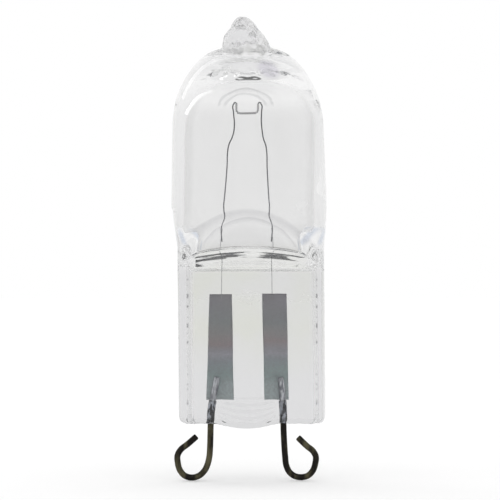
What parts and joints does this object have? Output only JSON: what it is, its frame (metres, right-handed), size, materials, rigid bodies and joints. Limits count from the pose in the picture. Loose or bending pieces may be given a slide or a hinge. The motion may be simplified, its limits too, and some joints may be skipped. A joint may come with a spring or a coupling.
{
  "type": "halogen capsule bulb",
  "caption": "Clear quartz halogen capsule with a pressed flat end, coiled filament, foil seals and looped wire pins.",
  "frame": {"origin": "on the midline between the two loop pins, level with the loops' lowest points, where the lampholder holds the bulb", "axes": "+Z from the pins to the dome, +X from the left pin to the right pin, -Y to the viewer in front of the pressed face"},
  "size_m": [0.0134, 0.0132, 0.0394],
  "materials": {
    "quartz": "clear fused quartz, fire polished, wavy at the dome and the press",
    "tungsten": "dark grey drawn tungsten, matt",
    "core_wire": "bright grey drawn wire",
    "foil": "matt grey rolled foil",
    "lead_wire": "dark brown oxidised drawn wire, semi-matt"
  },
  "bodies": {
    "root": {"quartz_envelope": "quartz", "filament": "tungsten", "core_wire_left": "core_wire", "core_wire_right": "core_wire", "foil_left": "foil", "foil_right": "foil", "lead_pin_left": "lead_wire", "lead_pin_right": "lead_wire"}
  },
  "joints": []
}
